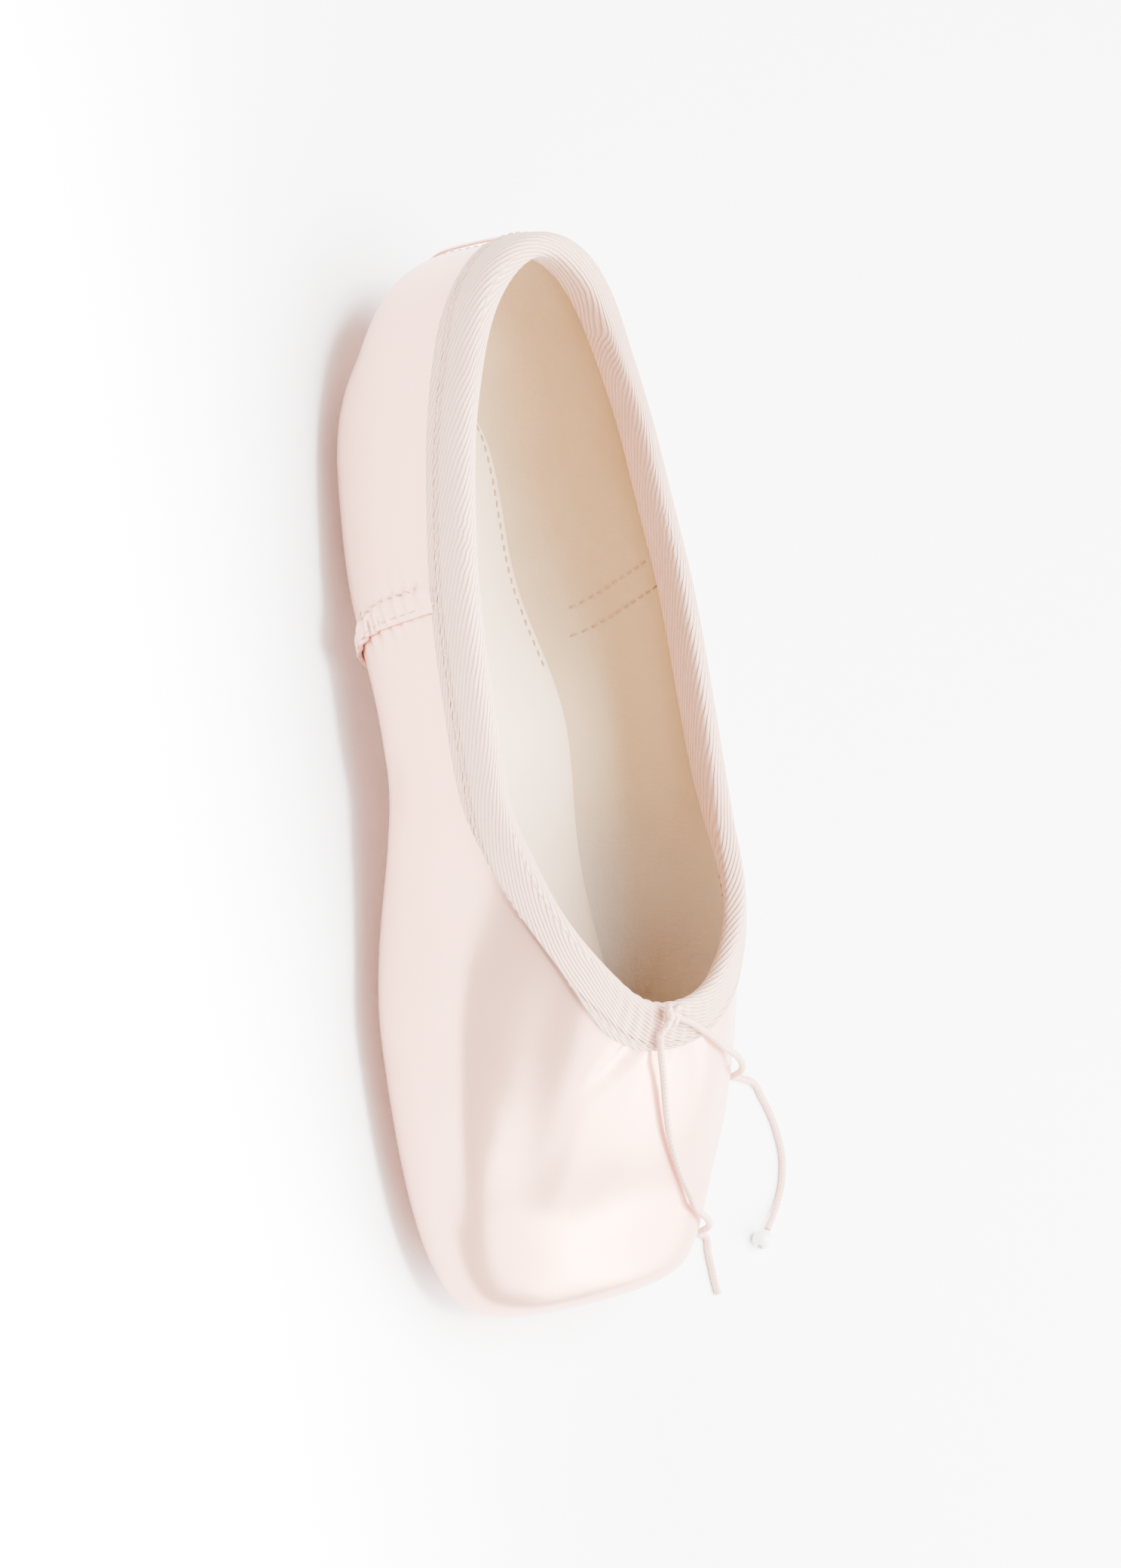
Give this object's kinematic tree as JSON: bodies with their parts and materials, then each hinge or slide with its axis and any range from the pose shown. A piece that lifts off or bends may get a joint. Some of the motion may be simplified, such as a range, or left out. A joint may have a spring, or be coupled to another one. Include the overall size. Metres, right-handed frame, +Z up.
{
  "type": "pointe shoe",
  "caption": "Satin ballet pointe shoe with a stiff box and flat platform, low collar with a drawstring, arched leather sole.",
  "frame": {"origin": "on the floor under the middle of the shoe's outline, drawstring ends left out", "axes": "+Y towards the heel, +X across the shoe, +Z up"},
  "size_m": [0.1311, 0.2488, 0.0659],
  "materials": {
    "sole_leather": "matte suede with a smoother cut edge",
    "satin": "glossy satin weave over stiff canvas",
    "sock_canvas": "matte cotton sock",
    "binding_twill": "matte cotton twill tape",
    "elastic_cord": "fine braided elastic",
    "bead_plastic": "milky plastic bead"
  },
  "bodies": {
    "root": {"outsole": "sole_leather", "upper": "satin", "insole": "sock_canvas", "collar_binding": "binding_twill", "side_seam_left": "satin", "side_seam_right": "satin", "back_seam": "satin", "toe_patch": "satin", "drawstring_knot": "elastic_cord", "drawstring_end_long": "elastic_cord", "drawstring_end_short": "elastic_cord", "drawstring_bead": "bead_plastic"}
  },
  "joints": []
}
